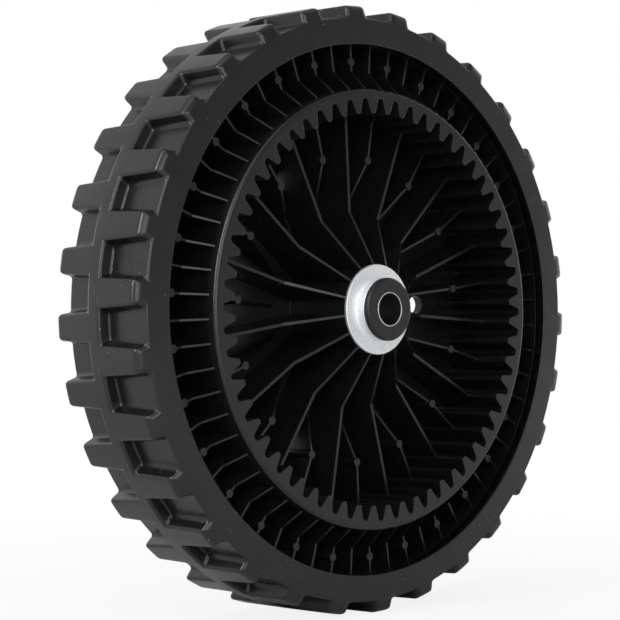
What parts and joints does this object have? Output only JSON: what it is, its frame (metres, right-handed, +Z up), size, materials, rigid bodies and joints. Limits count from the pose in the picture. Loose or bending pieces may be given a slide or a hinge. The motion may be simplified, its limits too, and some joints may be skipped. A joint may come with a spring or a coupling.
{
  "type": "wheel",
  "caption": "Drive wheel of a walk-behind garden machine: block-tread tyre on a ribbed moulded core with an internal ring gear, turning on flanged ball bearings.",
  "frame": {"origin": "centre of the wheel: on the spin axis, midway along the axle sleeve", "axes": "+Y along the spin axis, away from the gear side; +Z up; +X to the right seen from the gear side"},
  "size_m": [0.2298, 0.067, 0.2298],
  "materials": {
    "tyre": "semi-matte moulded black",
    "core": "moulded black, satin",
    "zinc": "zinc-plated, satin",
    "steel": "turned and ground",
    "collar": "moulded black, satin",
    "cage": "natural nylon"
  },
  "bodies": {
    "axle_group": {"axle_sleeve": "steel", "front_inner_race": "steel", "front_end_collar": "collar", "back_inner_race": "steel", "back_end_collar": "collar"},
    "wheel": {"tyre": "tyre", "wheel_core": "core", "front_bearing_cup": "zinc", "front_outer_race": "steel", "back_bearing_cup": "zinc", "back_outer_race": "steel"},
    "front_cage": {"front_ball_cage": "cage", "front_balls": "steel"},
    "back_cage": {"back_ball_cage": "cage", "back_balls": "steel"}
  },
  "joints": [
    {"name": "wheel_spin", "type": "hinge", "parent": "axle_group", "child": "wheel", "pos_m": [0, 0, 0], "axis": [0, 1, 0], "continuous": true},
    {"name": "front_cage_spin", "type": "hinge", "parent": "axle_group", "child": "front_cage", "pos_m": [0, 0, 0], "axis": [0, 1, 0], "continuous": true},
    {"name": "back_cage_spin", "type": "hinge", "parent": "axle_group", "child": "back_cage", "pos_m": [0, 0, 0], "axis": [0, 1, 0], "continuous": true}
  ],
  "couplings": [
    {"joint": "front_cage_spin", "follows": "wheel_spin", "ratio": 0.6016},
    {"joint": "back_cage_spin", "follows": "wheel_spin", "ratio": 0.6016}
  ]
}
